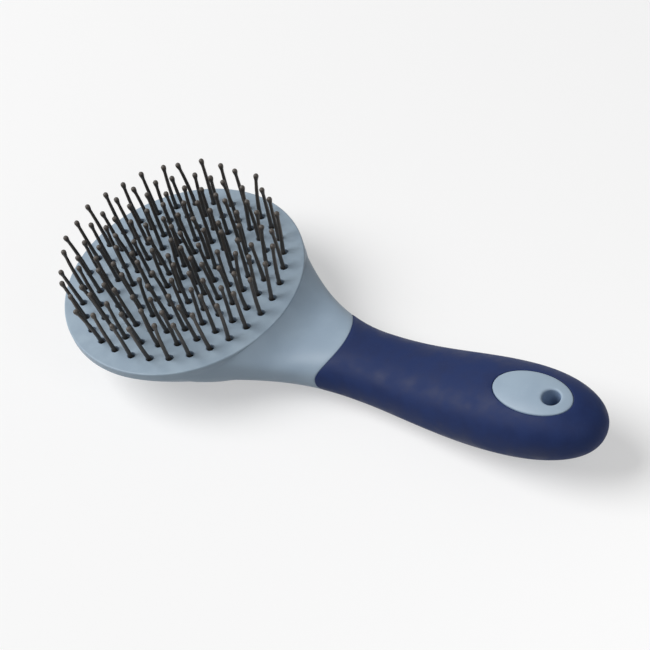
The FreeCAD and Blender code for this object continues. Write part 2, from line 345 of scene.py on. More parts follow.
def skin_height(x, y, inset, side):
    """Height of the upper (side 1) or lower (side -1) skin over the point x, y."""
    inset_here = inset * end_share(x)
    half = half_width(x) - inset_here
    across = min(abs(y) / half, 1.0)
    if side > 0:
        full = (1 - across ** up_fullness(x)) ** (1 / up_fullness(x))
        return middle(x) + (top(x, y) - middle(x) - inset_here) * full
    full = (1 - across ** 2) ** (1 / low_fullness(x))
    return middle(x) - (middle(x) - bottom(x) - inset_here) * full


print("top of the swell", round(skin_height(SWELL_X, 0, 0, 1), 2))

# %% Rings of points across the form
AROUND = 96
END_STOP = 0.9995
TURNS = [2 * math.pi * (k + 0.5) / AROUND for k in range(AROUND)]


def ring_at(x, inset):
    return [on_skin(x, turn, inset) for turn in TURNS]


def bowed_ring(inset, ahead=0.0):
    """The ring where the grip's bowed edge crosses the skin, or a little ahead of it."""
    ring = []
    for turn in TURNS:
        x = GRIP_X
        for _ in range(8):
            y = on_skin(x, turn, inset).y
            x = GRIP_EDGE_CENTRE + math.sqrt(GRIP_EDGE_R ** 2 - (y - GRIP_EDGE_SIDE) ** 2) + ahead
        ring.append(on_skin(x, turn, inset))
    return ring


def end_places(count):
    """Places that come closer together up to the end, and stop just short of it."""
    return [between(SWELL_X, REACH, min(math.sin(math.pi / 2 * i / count), END_STOP))
            for i in range(1, count + 1)]


print("points in one ring", len(ring_at(NECK_X, 0)))

# %% [markdown]
# ## The lid
#
# The lid is a thin round plate with a soft rounded rim, 121 holes, and a ring underneath that
# drops into the bowl. A plate with many holes could be cut with as many boolean tools, but the
# cuts leave uneven faces round the holes. Here the flat top is triangulated once between the
# rim circle and the hole circles, and each hole gets its own rounded mouth, drawn ring by ring.


# %% Places of the holes
def hole_places():
    """Ring by ring, where the pins come through."""
    rings = [[(0.0, 0.0)]]
    for number, count in enumerate(RING_PINS, start=1):
        r = number * RING_PITCH
        phase = 0.0 if number == 1 else 0.5
        rings.append([(r * c, r * s) for c, s in spokes(count, phase)])
    return rings


holes = [place for ring in hole_places() for place in ring]
print("holes", len(holes))


# %% The lid's flat sides
def flat_with_holes(points, faces, rim, mouths, upward):
    """Triangles between a rim ring and hole rings, given as lists of point numbers."""
    rings = [rim] + mouths
    ring_of = {}
    spots, edges = [], []
    for number, ring in enumerate(rings):
        start = len(spots)
        for k, index in enumerate(ring):
            ring_of[len(spots)] = (number, index)
            spots.append(Vector(points[index][:2]))
            edges.append((start + k, start + (k + 1) % len(ring)))
    _, _, triangles, _, _, _ = delaunay_2d_cdt(spots, edges, [], 1, 1e-7)
    for a, b, c in triangles:
        owners = {ring_of[i][0] for i in (a, b, c)}
        if len(owners) == 1 and owners != {0}:
            continue
        face = [ring_of[i][1] for i in (a, b, c)]
        faces.append(face if upward else face[::-1])


print("holes to leave open in each flat", len(holes))


# %% Rings and roundings of the lid
def rings_between(points, faces, profile, count, x=0.0, y=0.0):
    """Adds rings of (radius, height) and the faces between them. Returns their numbers."""
    made = []
    for r, z in profile:
        start = len(points)
        points.extend(circle(x, y, r, z, count))
        made.append(list(range(start, start + count)))
    for here, there in zip(made, made[1:]):
        for k in range(count):
            n = (k + 1) % count
            faces.append((here[k], here[n], there[n], there[k]))
    return made


def quarter(steps, start=0):
    """Sine and cosine of evenly spaced angles, from the start, in degrees, to 90."""
    angles = [math.radians(start + (90 - start) * i / steps) for i in range(steps + 1)]
    return [(math.sin(a), math.cos(a)) for a in angles]


def rounding(r_flat, size, steps, outward):
    """(radius, height) pairs of a quarter round from the flat top down into a wall."""
    return [(r_flat + outward * size * s, -size * (1 - c)) for s, c in quarter(steps)]


print("end of the rim's rounding", [round(v, 2) for v in rounding(0, RIM_SOFT, 2, 1)[-1]])

# %% The lid's mesh
RIM_SIDES = 192
HOLE_SIDES = 20
HOLE_LIP = 0.28


def lid_mesh():
    points, faces = [], []
    rim = rounding(HEAD_R - RIM_SOFT, RIM_SOFT, 8, 1)
    rim += [(HEAD_R, -RIM_T), (SPIGOT_R, -RIM_T), (SPIGOT_R, SPIGOT_BOTTOM)]
    rim += [(LIP_INNER_R, SPIGOT_BOTTOM), (LIP_INNER_R, -FACE_T)]
    outer = rings_between(points, faces, rim, RIM_SIDES)
    mouths_above, mouths_below = [], []
    for x, y in holes:
        wall = rounding(HOLE_R + HOLE_LIP, HOLE_LIP, 3, -1) + [(HOLE_R, -FACE_T)]
        made = rings_between(points, faces, wall, HOLE_SIDES, x, y)
        mouths_above.append(made[0])
        mouths_below.append(made[-1])
    flat_with_holes(points, faces, outer[0], mouths_above, True)
    flat_with_holes(points, faces, outer[-1], mouths_below, False)
    return mesh_of("lid", points, faces)


lid = placed("lid", lid_mesh(), sharp=50)
level = lid.modifiers.new("even shading", "WEIGHTED_NORMAL")
level.keep_sharp = True
level.weight = 100

# %% [markdown]
# ## The body: bowl, neck and handle core
#
# On the real brush this is one moulding. Its outside is the flowing form up to the bowed edge of
# the grip, where it steps down to the core under the rubber. The core comes up again through
# the grip as two oval islands, and the hanging hole passes through them. The inside has seats
# for the lid and the disc, a bowl with posts, and a hollow handle. Such steps and hollows are
# made with exact booleans between simple closed skins, because each skin follows its own law.

# %% The bare neck and head
NECK_EDGE_ROUND = 0.35
NECK_STEADY_X = 52.0


def follow(ring, other, share, inset=0):
    """The ring part of the way to the other one, put back on the skin."""
    return [on_skin(between(a.x, b.x, share), turn, inset)
            for turn, a, b in zip(TURNS, ring, other)]


def neck_and_head():
    """The bare moulding in front of the grip's edge."""
    head_places = [-HEAD_R * math.sin(math.pi / 2 * i / 26) for i in range(26, 0, -1)]
    head_places[0] = -HEAD_R * 0.9996
    rings = [ring_at(x, 0) for x in head_places]
    steady = ring_at(NECK_STEADY_X, 0)
    rings += [ring_at(x * 2.0, 0) for x in range(26)]
    edge = bowed_ring(0, -NECK_EDGE_ROUND)
    rings += [follow(steady, edge, share / 10) for share in range(11)]
    for s, c in quarter(3)[1:]:
        rings.append(bowed_ring(NECK_EDGE_ROUND * (1 - c), NECK_EDGE_ROUND * (s - 1)))
    rings.append(bowed_ring(GRIP_T + 1.5))
    return mesh_of("neck and head", *skin_through(rings))


print("neck edge rounding", NECK_EDGE_ROUND)

# %% The core and its hollow
CORE_START = 60.0
HOLLOW_START, HOLLOW_L, HOLLOW_WALL = 50.0, 77.0, 3.0


def core_skin():
    """The core under the rubber, from a straight cut to its rounded end."""
    count = round((SWELL_X - CORE_START) / 2.5)
    rings = [ring_at(between(CORE_START, SWELL_X, i / count), GRIP_T) for i in range(count + 1)]
    rings += [ring_at(x, GRIP_T) for x in end_places(24)]
    return mesh_of("core", *skin_through(rings))


def hollow_skin():
    places = [HOLLOW_START + HOLLOW_L * i / 20 for i in range(21)]
    rings = [ring_at(x, GRIP_T + HOLLOW_WALL) for x in places]
    return mesh_of("hollow", *skin_through(rings))


print("core wall", HOLLOW_WALL, "from", HOLLOW_START, "to", HOLLOW_START + HOLLOW_L)

# %% [markdown]
# The oval islands need a soft lip all round and a crown that follows the handle's form. They
# are drawn as rings that shrink towards the middle of the oval, each point dropped onto the
# skin, so that the top, the lip and the wall are one smooth run of rings.

# %% Rings laid on the skin
OVAL_SIDES = 72
CLEAR_OVER = 3.0
FLARE_ANGLE = 14


def oval_ring(grow):
    return [(OVAL_X + (OVAL_L / 2 + grow) * c, (OVAL_W / 2 + grow) * s)
            for c, s in spokes(OVAL_SIDES)]


def flared(r, lip, steps, lift):
    """(radius, sink) pairs of a rounded mouth that runs on straight out of the skin."""
    pairs = [(r + lip * (1 - s), lip * (1 - c)) for s, c in quarter(steps, FLARE_ANGLE)]
    wide = pairs[0][0] + lift / math.tan(math.radians(FLARE_ANGLE))
    return [(wide, -CLEAR_OVER), (wide, pairs[0][1] - lift)] + pairs


def over_both(name, run):
    """A mesh from rings of (x, y, sink) laid on the grip's upper and lower skin."""
    rings = []
    for side in (1, -1):
        made = [[Vector((x, y, skin_height(x, y, -GRIP_PROUD, side) - side * sink))
                 for x, y, sink in ring] for ring in run]
        rings += made if side > 0 else made[::-1]
    return mesh_of(name, *skin_through(rings))


print("points in an oval", len(oval_ring(0)), "rings in a mouth", len(flared(1, 1, 5, 1)))

# %% Islands and the hanging hole
ISLAND_LIP = 0.45
ISLAND_GAP = 0.06
HANG_LIP = 0.9
HANG_LIFT = 0.6


def island():
    """Oval column from the lower skin to the upper one, with rounded lips."""
    shares = [0.04, 0.12, 0.22, 0.33, 0.44, 0.55, 0.66, 0.76, 0.85, 0.92]
    crown = oval_ring(-ISLAND_GAP - ISLAND_LIP)
    run = [[(OVAL_X + (x - OVAL_X) * share, y * share, 0.0) for x, y in crown] for share in shares]
    for s, c in quarter(5):
        lip = oval_ring(-ISLAND_GAP - ISLAND_LIP * (1 - s))
        run.append([(x, y, ISLAND_LIP * (1 - c)) for x, y in lip])
    return over_both("island", run)


def hang_tool():
    """A spool for the hanging hole whose ends flare out along the skin."""
    return over_both("hanging hole", [[(p.x, p.y, sink) for p in circle(HANG_X, 0, r, 0, 48)]
                                      for r, sink in flared(HANG_R, HANG_LIP, 6, HANG_LIFT)])


print("island lip", ISLAND_LIP, "hole lip", HANG_LIP)

# %% [markdown]
# Under the lid the moulding is hollow: a bowl whose wall follows the dome, seats for the lid's
# ring and the disc, a channel into the handle and seven posts that carry the disc. Each is a
# tool of its own, a turned skin or a prism, so that it can be cut or joined in one go.

# %% Bowl and table
SEAT_CLEARANCE = 0.15
TABLE_HALF = 0.3


def bowl_tool():
    """What is hollow in the head: seats for the lid's ring and for the disc, then the bowl."""
    low, wall_r = -HEAD_DEPTH + BOWL_WALL, HEAD_R - BOWL_WALL
    rise = (-WALL_DROP - low) / wall_r ** 2
    seat_z = SPIGOT_BOTTOM - SEAT_CLEARANCE
    outline = [(SPIGOT_SEAT_R, 1.0), (SPIGOT_SEAT_R, seat_z)]
    outline.append((math.sqrt((seat_z - low) / rise), seat_z))
    outline += [(DISC_SEAT_R, low + rise * DISC_SEAT_R ** 2), (DISC_SEAT_R, DISC_BOTTOM)]
    inner = math.sqrt((DISC_BOTTOM - low) / rise)
    outline += [(r, low + rise * r ** 2) for r in (inner * i / 10 for i in range(10, 0, -1))]
    return turned("bowl", outline)


def square(half):
    return [(-half, -half), (half, -half), (half, half), (-half, half)]


def table_tool():
    """The slab below the table, which leaves the flat foot of the dome."""
    unlaid = LAID.inverted()
    rings = [[unlaid @ Vector((x, y, z)) for x, y in square(TABLE_HALF)] for z in (-0.1, 0.0)]
    return mesh_of("table", *skin_through(rings))


print("bowl floor", -HEAD_DEPTH + BOWL_WALL)

# %% Channel and posts
CHANNEL_R, CHANNEL_END = 4.5, 59.0
POST_RING, POST_R, POSTS = 27.0, 3.0, 6
POST_END_RADII = [34.0, 30.0, 26.0, 22.0, 17.0, 11.0, 5.0, 1.0]
CUT_ABOVE = 5.0


def upright_tool(x, y, r, low, high, count=32):
    return mesh_of("upright", *skin_through([circle(x, y, r, z, count) for z in (low, high)]))


def channel_tool():
    """The bore between the bowl and the hollow handle."""
    mid = middle(HOLLOW_START)
    rings = [[Vector((x, CHANNEL_R * c, mid + CHANNEL_R * s)) for c, s in spokes(24)]
             for x in (0.0, CHANNEL_END)]
    return mesh_of("channel", *skin_through(rings))


def post_mesh(x, y):
    """A post under the disc. Its foot follows the dome, halfway into the wall."""
    low = -HEAD_DEPTH + BOWL_WALL / 2
    outline = [(POST_END_RADII[0], DISC_BOTTOM + CUT_ABOVE)]
    outline += [(r, low + DOME_CURVE * r ** 2) for r in POST_END_RADII]
    post = upright_tool(x, y, POST_R, -HEAD_DEPTH, DISC_BOTTOM)
    return carved(post, turned("post end", outline), "INTERSECT")


print("posts", POSTS + 1)


# %% The body put together
def body_mesh():
    """The bare neck and head, with each form joined or cut in its turn."""
    wall = turned("wall", [(HEAD_R, 0.5), (HEAD_R, -2.4), (HEAD_R, -WALL_DROP)], RIM_SIDES)
    seat = upright_tool(0, 0, HEAD_R + SEAT_GAP, -RIM_T, CUT_ABOVE, RIM_SIDES)
    posts = [(0.0, 0.0)] + [(POST_RING * c, POST_RING * s) for c, s in spokes(POSTS, 0.5)]
    steps = [(wall, "UNION"), (seat, "DIFFERENCE"), (core_skin(), "UNION"),
             (bowl_tool(), "DIFFERENCE"), (hollow_skin(), "DIFFERENCE"),
             (channel_tool(), "DIFFERENCE")]
    steps += [(post_mesh(x, y), "UNION") for x, y in posts]
    steps += [(island(), "UNION"), (hang_tool(), "DIFFERENCE"), (table_tool(), "DIFFERENCE")]
    body = neck_and_head()
    for tool, how in steps:
        body = carved(body, tool, how)
    return body


shell = placed("body_shell", body_mesh(), sharp=50)

# %% [markdown]
# ## The soft grip
#
# The rubber is moulded over the core, a little prouder than the bare neck, with a soft rounded
# edge in front and round each oval window. That rounded edge is what catches the light and
# leaves a thin dark line beside it, so it is drawn as geometry and not only as a bump.

# %% The grip's mesh
GRIP_EDGE_ROUND = 0.4
GRIP_STEADY_X = 92.0
WINDOW_LIP = 0.5
WINDOW_LIFT = 0.5


def grip_outside():
    rings = [bowed_ring(GRIP_T + 1.0), bowed_ring(GRIP_T - 0.5), bowed_ring(GRIP_EDGE_ROUND)]
    for s, c in quarter(5)[1:]:
        rings.append(bowed_ring(GRIP_EDGE_ROUND * (1 - s) - GRIP_PROUD, GRIP_EDGE_ROUND * (1 - c)))
    edge, steady = rings[-1], ring_at(GRIP_STEADY_X, -GRIP_PROUD)
    rings += [follow(edge, steady, share / 8, -GRIP_PROUD) for share in range(1, 9)]
    places = [between(GRIP_STEADY_X, SWELL_X, i / 20) for i in range(1, 21)]
    rings += [ring_at(x, -GRIP_PROUD) for x in places]
    rings += [ring_at(x, -GRIP_PROUD) for x in end_places(30)]
    return mesh_of("grip outside", *skin_through(rings))


def window_tool():
    """An upright oval whose ends flare out along the skin, for the two windows."""
    return over_both("window", [[(x, y, sink) for x, y in oval_ring(grow)]
                                for grow, sink in flared(0, WINDOW_LIP, 5, WINDOW_LIFT)])


def grip_mesh():
    grip = carved(grip_outside(), core_skin(), "DIFFERENCE")
    return carved(grip, window_tool(), "DIFFERENCE")


grip = placed("soft_grip", grip_mesh(), sharp=40)

# %% [markdown]
# ## The pins
#
# Each pin is a thin nylon nail: a flat head behind the mat, a tapering stem and a ball at the
# end. No two stand quite alike: they fan outward a little and each has its own slight bend.
# A curve with a bevel would do for the stem but not for the head and ball in one closed skin,
# so each pin is a run of rings along its own bent line.

# %% One pin along its bent line
FAN = 0.055
WANDER = 0.9
BEND = 1.3
PIN_REACH = 21.0
STAND_X, STAND_Y = -0.36, -0.22
ROOT_R, PIN_NECK_R, BALL_R = 0.85, 0.66, 1.05
NAIL_R, NAIL_T = 1.5, 0.7
BALL_PROFILE = [(-2.7, 0.62), (-2.1, 0.64), (-1.6, 0.7), (-1.15, 0.8), (-0.75, 0.905),
                (-0.35, 0.975), (0.0, 1.0), (0.34, 0.94), (0.62, 0.79), (0.84, 0.55), (0.96, 0.28)]


def pin_line(x, y, number):
    """A function from the height share along the reach, 0 at the face, to a point of the axis."""
    lean_x = FAN * x + WANDER * math.sin(2.4 * number + 0.6)
    lean_y = FAN * y + WANDER * math.sin(4.1 * number + 1.7)
    bend_x = BEND * math.sin(5.3 * number + 0.9)
    bend_y = BEND * math.sin(3.7 * number + 2.2)
    length = math.sqrt(lean_x ** 2 + lean_y ** 2 + PIN_REACH ** 2)

    def at(share):
        rise = share * PIN_REACH * PIN_REACH / length
        bow = max(share, 0.0) * (max(share, 0.0) - 0.45)
        drift = share * PIN_REACH / length
        return Vector((x + STAND_X + lean_x * drift + bend_x * bow,
                       y + STAND_Y + lean_y * drift + bend_y * bow, rise))
    return at


print("top of the first pin", [round(v, 2) for v in pin_line(0, 0, 0)(1)])

# %% Rings of one pin
PIN_SIDES = 10


def ring_facing(centre, along, r):
    side = Vector((0, 1, 0)).cross(along).normalized()
    other = along.cross(side).normalized()
    return [centre + side * (r * c) + other * (r * s) for c, s in spokes(PIN_SIDES)]


def pin_rings(x, y, number):
    """Rings from the nail's underside to the end of the ball."""
    at = pin_line(x, y, number)
    root_share = (MAT_BOTTOM + NAIL_T / 2) / PIN_REACH
    root = at(root_share)
    rings = []
    for r, z in ((NAIL_R - 0.15, MAT_BOTTOM), (NAIL_R, MAT_BOTTOM + 0.12),
                 (NAIL_R, MAT_BOTTOM + NAIL_T - 0.1), (NAIL_R - 0.15, MAT_BOTTOM + NAIL_T),
                 (ROOT_R + 0.1, MAT_BOTTOM + NAIL_T), (ROOT_R, MAT_BOTTOM + NAIL_T + 0.1)):
        rings.append(circle(root.x, root.y, r, z, PIN_SIDES))
    ball_share = 1 - BALL_R / PIN_REACH
    stem_share = ball_share + (BALL_PROFILE[0][0] - 0.5) * BALL_R / PIN_REACH
    ball = at(ball_share)
    aim = (ball - at(ball_share - 0.08)).normalized()
    for share in (0.0, 0.1, 0.22, 0.36, 0.5, 0.64, 0.78, 0.9, 1.0):
        s = between(0.0, stem_share, share)
        r = between(ROOT_R, PIN_NECK_R, share)
        rings.append(ring_facing(at(s), at(s + 0.02) - at(s - 0.02), r))
    for ahead, wide in BALL_PROFILE:
        rings.append(ring_facing(ball + aim * (ahead * BALL_R), aim, wide * BALL_R))
    return rings


print("rings in a pin", len(pin_rings(0, 0, 0)))

# %% All the pins, ring by ring
pins = []
number = 0
for row, places in enumerate(hole_places()):
    points, faces = [], []
    for x, y in places:
        pin_points, pin_faces = skin_through(pin_rings(x, y, number))
        faces += [[i + len(points) for i in face] for face in pin_faces]
        points += pin_points
        number += 1
    name = "pins_ring_%d" % row if row else "pin_centre"
    pins.append(placed(name, mesh_of(name, points, faces), sharp=60))
print("pins", number)

# %% [markdown]
# ## Which frame nodes these pieces stand for
#
# Every skin rides on the brush's one rigid body and takes over from the plain node of the same
# piece. The mat and the clamping disc lie hidden behind the lid, and their plain forms are
# right as they are, so they stay and only get a finish.

# %% Riding and replacing
stands_for = [(lid, "face_plate", "shell_blue"), (shell, "brush_body", "shell_blue"),
              (grip, "hand_grip", "grip_navy"), (pins[0], "centre_pin", "pin_nylon")]
stands_for += [(pins[i], "pin_ring_%d" % i, "pin_nylon") for i in range(1, 7)]
for piece, node, slot in stands_for:
    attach(piece, "root")
    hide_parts(node)
    print(piece.name, "stands for", node)

# %% [markdown]
# ## Finishes
#
# The brush is made of three plastics and two rubbers, and the same few things happen to them:
# the mould's texture, cloudy changes of gloss, light wear on the edges, a trace of dust. Over
# these, shade is painted into the corners. Each of these is a shader group, built once, with
# named inputs and outputs. A material places a group and gives it its own values. Copying the
# nodes into each material would work too, but then a change of the dust would have to be made
# in five places.


# %% Helpers: colours, nodes and links
def colour(red, green, blue):
    """Linear colour from three screen values, 0 to 255."""
    linear = []
    for share in (red / 255, green / 255, blue / 255):
        linear.append(share / 12.92 if share <= 0.04045 else ((share + 0.055) / 1.055) ** 2.4)
    return (*linear, 1.0)


def node(tree, kind, **settings):
    made = tree.nodes.new("ShaderNode" + kind)
    for key, value in settings.items():
        setattr(made, key, value)
    return made


def plug(tree, socket, source):
    """Links an output to a socket, or sets a plain value there."""
    if isinstance(source, bpy.types.NodeSocket):
        tree.links.new(source, socket)
    else:
        socket.default_value = source


def feed(tree, target, **sources):
    """Plugs sources into a node's inputs by their names, with _ for each space."""
    for label, source in sources.items():
        plug(tree, target.inputs[label.replace("_", " ")], source)


print("light blue as a linear colour", [round(v, 3) for v in colour(150, 168, 186)])


# %% Helpers: sums, ranges, noise and blends
def maths(tree, kind, first, second):
    made = node(tree, "Math", operation=kind)
    plug(tree, made.inputs[0], first)
    plug(tree, made.inputs[1], second)
    return made.outputs[0]


def softly(tree, value, low, high, least=0.0, most=1.0):
    """The value moved smoothly from one range into another, and kept there."""
    made = node(tree, "MapRange", interpolation_type="SMOOTHSTEP")
    feed(tree, made, Value=value, From_Min=low, From_Max=high, To_Min=least, To_Max=most)
    return made.outputs["Result"]


def speckle(tree, where, scale, detail=2.0):
    made = node(tree, "TexNoise")
    feed(tree, made, Vector=where, Scale=scale, Detail=detail)
    return made.outputs[0]


def blend(tree, share, first, second):
    """The first colour, going over to the second with the share."""
    made = node(tree, "Mix", data_type="RGBA")
    for place_in, source in ((0, share), (6, first), (7, second)):
        plug(tree, made.inputs[place_in], source)
    return made.outputs[2]


print("helpers", [made.__name__ for made in (maths, softly, speckle, blend)])

# %% New shader groups
SOCKET_KINDS = {type(None): "NodeSocketVector", float: "NodeSocketFloat",
                tuple: "NodeSocketColor"}


def new_group(name, ways_out, **ways_in):
    """An empty shader group, what is given to it, and its end node. Inputs are numbers, colours
    or, with None, a place. Outputs are numbers, apart from one called Colour."""
    group = bpy.data.node_groups.new(name, "ShaderNodeTree")
    for label, value in ways_in.items():
        socket = group.interface.new_socket(name=label.replace("_", " "), in_out="INPUT",
                                            socket_type=SOCKET_KINDS[type(value)])
        if value is not None:
            socket.default_value = value
    for label in ways_out:
        kind = SOCKET_KINDS[tuple if label == "Colour" else float]
        group.interface.new_socket(name=label, in_out="OUTPUT", socket_type=kind)
    return group, group.nodes.new("NodeGroupInput").outputs, group.nodes.new("NodeGroupOutput")


def place(tree, group, **values):
    """A group placed in a material, with the values for this material."""
    made = tree.nodes.new("ShaderNodeGroup")
    made.node_tree = group
    feed(tree, made, **values)
    return made


print("socket kinds", sorted(SOCKET_KINDS.values()))

# %% [markdown]
# ### Mould texture
#
# A satin plastic part gets its dull look from the mould, whose steel is sparked or blasted to a
# fine grain. Under that grain the skin is never quite flat: where the plastic was thick it has
# sunk a little. So the height is a fine noise plus a slow one. It only feeds bumps.


# %% The mould texture group
def mould_texture_group():
    group, given, way_out = new_group("mould texture", ["Height"], Where=None, Grain=3000.0,
                                      Sink=60.0, Sink_share=0.3)
    fine = speckle(group, given["Where"], given["Grain"], 3.0)
    slow = speckle(group, given["Where"], given["Sink"], 1.0)
    slow_part = maths(group, "MULTIPLY", slow, given["Sink share"])
    feed(group, way_out, Height=maths(group, "ADD", fine, slow_part))
    return group


mould_texture = mould_texture_group()
print(mould_texture.name, "nodes", len(mould_texture.nodes))

# %% [markdown]
# ### Cloudy tone
#
# Skin grease, handling and uneven cooling leave patches that are a touch lighter or duller than
# the rest. The group turns one slow noise into a colour between two tones and a roughness
# between two values, so that the patches in both fall together as they do on the real thing.


# %% The cloudy tone group
def cloudy_tone_group():
    group, given, way_out = new_group(
        "cloudy tone", ["Colour", "Roughness"], Where=None, Patches=80.0,
        Deep=(0.3, 0.3, 0.3, 1), Pale=(0.4, 0.4, 0.4, 1), Shiny=0.35, Dull=0.45)
    cloud = speckle(group, given["Where"], given["Patches"], 4.0)
    share = softly(group, cloud, 0.35, 0.65)
    tone = blend(group, share, given["Deep"], given["Pale"])
    gloss = softly(group, cloud, 0.3, 0.7, given["Shiny"], given["Dull"])
    feed(group, way_out, Colour=tone, Roughness=gloss)
    return group


cloudy_tone = cloudy_tone_group()
print(cloudy_tone.name, "nodes", len(cloudy_tone.nodes))

# %% [markdown]
# ### Rubbed edges
#
# Edges that stand out get rubbed in the box and in the hand, so they turn a little paler.
# Cycles knows how pointed the mesh is at each place. The mask starts where that goes over a
# given value, and a noise breaks it up so that the wear isn't an even stripe.


# %% The rubbed edges group
def rubbed_edges_group():
    group, given, way_out = new_group("rubbed edges", ["Mask"], Where=None, Start=0.52, Full=0.6,
                                      Break_up=300.0, Amount=0.5)
    shape = node(group, "NewGeometry")
    pointed = softly(group, shape.outputs["Pointiness"], given["Start"], given["Full"])
    broken = softly(group, speckle(group, given["Where"], given["Break up"]), 0.3, 0.6)
    worn = maths(group, "MULTIPLY", pointed, broken)
    feed(group, way_out, Mask=maths(group, "MULTIPLY", worn, given["Amount"]))
    return group


rubbed_edges = rubbed_edges_group()
print(rubbed_edges.name, "nodes", len(rubbed_edges.nodes))

# %% [markdown]
# ### Settled dust
#
# Dust lies on what faces up and in specks rather than as a film. The mask is the upward share
# of the surface normal times a noise with only its peaks left. A new brush has next to none.


# %% The settled dust group
def settled_dust_group():
    group, given, way_out = new_group("settled dust", ["Mask"], Where=None, Specks=900.0,
                                      Bare=0.62, Amount=0.2)
    shape = node(group, "NewGeometry")
    parts = node(group, "SeparateXYZ")
    feed(group, parts, Vector=shape.outputs["Normal"])
    upward = softly(group, parts.outputs["Z"], 0.2, 0.9)
    grains = speckle(group, given["Where"], given["Specks"], 3.0)
    peaks = softly(group, grains, given["Bare"], 0.8)
    lying = maths(group, "MULTIPLY", upward, peaks)
    feed(group, way_out, Mask=maths(group, "MULTIPLY", lying, given["Amount"]))
    return group


settled_dust = settled_dust_group()
print(settled_dust.name, "nodes", len(settled_dust.nodes))

# %% [markdown]
# ### Painted shade in corners
#
# In the gap round a pin, beside the grip's edge and round the oval, a darker colour is painted
# in as shade, over the shade that the lamps already cast. Ambient occlusion looks a given
# distance round each place and gives a mask of such corners. The body is asked to look further
# than the rest, so that its painted shade, in a bluer tone, also darkens the scoop and the bore.


# %% The shaded corners group
def shaded_corners_group():
    # A mask for painted shade: a darker colour goes where ambient occlusion finds a corner.
    group, given, way_out = new_group("shaded corners", ["Mask"], Reach=0.002, Amount=0.5)
    around = node(group, "AmbientOcclusion", samples=4)
    feed(group, around, Distance=given["Reach"])
    closed = softly(group, around.outputs["AO"], 0.95, 0.35)
    feed(group, way_out, Mask=maths(group, "MULTIPLY", closed, given["Amount"]))
    return group


shaded_corners = shaded_corners_group()
print(shaded_corners.name, "nodes", len(shaded_corners.nodes))

# %% [markdown]
# ### Hairlines
#
# Smooth plastic shows hairlines where it has been wiped or has slid over a table. A noise that
# is stretched hard in one direction, cut to a narrow band round its middle value, gives long
# thin broken lines. They are too shallow for a bump and only change the gloss.


# %% The hairlines group
def hairlines_group():
    group, given, way_out = new_group("hairlines", ["Mask"], Where=None, Across=900.0, Along=40.0,
                                      Turn=0.6, Amount=0.3)
    turned_axes = node(group, "VectorRotate", rotation_type="Z_AXIS")
    feed(group, turned_axes, Vector=given["Where"], Angle=given["Turn"])
    parts = node(group, "SeparateXYZ")
    feed(group, parts, Vector=turned_axes.outputs[0])
    pulled = node(group, "CombineXYZ")
    feed(group, pulled, X=maths(group, "MULTIPLY", parts.outputs["X"], given["Along"]),
         Y=maths(group, "MULTIPLY", parts.outputs["Y"], given["Across"]),
         Z=maths(group, "MULTIPLY", parts.outputs["Z"], given["Along"]))
    wave = speckle(group, pulled.outputs[0], 1.0, 1.0)
    offset = maths(group, "ABSOLUTE", maths(group, "SUBTRACT", wave, 0.5), 0.0)
    line = softly(group, offset, 0.012, 0.003)
    patch = softly(group, speckle(group, given["Where"], 70.0), 0.5, 0.62)
    drawn = maths(group, "MULTIPLY", line, patch)
    feed(group, way_out, Mask=maths(group, "MULTIPLY", drawn, given["Amount"]))
    return group


hairlines = hairlines_group()
print(hairlines.name, "nodes", len(hairlines.nodes))

# %% [markdown]
# ### Height above the face
#
# The pins are a touch warmer and paler towards their ends, where they are used most. The share
# of the way up a pin is how far a place lies along the brush's own upright, from the face to
# the end of the balls. That direction comes from how the brush lies.

# %% The pin height group
UPRIGHT = (LAID.to_3x3() @ Vector((0, 0, 1))).normalized()
FACE_LEVEL = UPRIGHT.dot(LAID @ Vector((0, 0, 0)))


def pin_height_group():
    group, given, way_out = new_group("pin height", ["Share"], Where=None, Start=0.0, End=1.0)
    along = node(group, "VectorMath", operation="DOT_PRODUCT")
    plug(group, along.inputs[0], given["Where"])
    plug(group, along.inputs[1], UPRIGHT)
    above = maths(group, "SUBTRACT", along.outputs["Value"], FACE_LEVEL)
    share = maths(group, "DIVIDE", above, PIN_REACH * MM)
    feed(group, way_out, Share=softly(group, share, given["Start"], given["End"]))
    return group


pin_height = pin_height_group()
print(pin_height.name, "face level", round(FACE_LEVEL, 4))

# %% [markdown]
# ### Materials
#
# Each material starts from the same frame: one Principled shader and the place on the piece,
# in metres. Values that are the same all over are set straight on the shader.


# %% A new material
def new_material(name, **uniform):
    """A material with its shader, and the places on the piece as a vector."""
    made = bpy.data.materials.new(name)
    made.use_nodes = True
    tree = made.node_tree
    shader = tree.nodes["Principled BSDF"]
    feed(tree, shader, **uniform)
    where = node(tree, "TexCoord").outputs["Object"]
    return made, tree, shader, where


def textured(tree, shader, where, depth, strength, **texture):
    """Lets the mould's texture raise the surface by the depth, in metres."""
    height = place(tree, mould_texture, Where=where, **texture).outputs["Height"]
    bump = node(tree, "Bump")
    feed(tree, bump, Height=height, Distance=depth, Strength=strength)
    feed(tree, shader, Normal=bump.outputs["Normal"])


def over(tree, shader, gloss, mask, rough):
    """Roughness that goes to another value where the mask is."""
    change = maths(tree, "SUBTRACT", rough, gloss)
    part = maths(tree, "MULTIPLY", change, mask)
    feed(tree, shader, Roughness=maths(tree, "ADD", gloss, part))


def painted(tree, shader, tone, *layers):
    """The tone as base colour, and over it the colour of each layer where its mask is."""
    skin = tone.outputs["Colour"]
    for layer, paint in layers:
        skin = blend(tree, layer.outputs["Mask"], skin, colour(*paint))
    feed(tree, shader, Base_Color=skin)


print("groups to place", [group.name for group in bpy.data.node_groups])
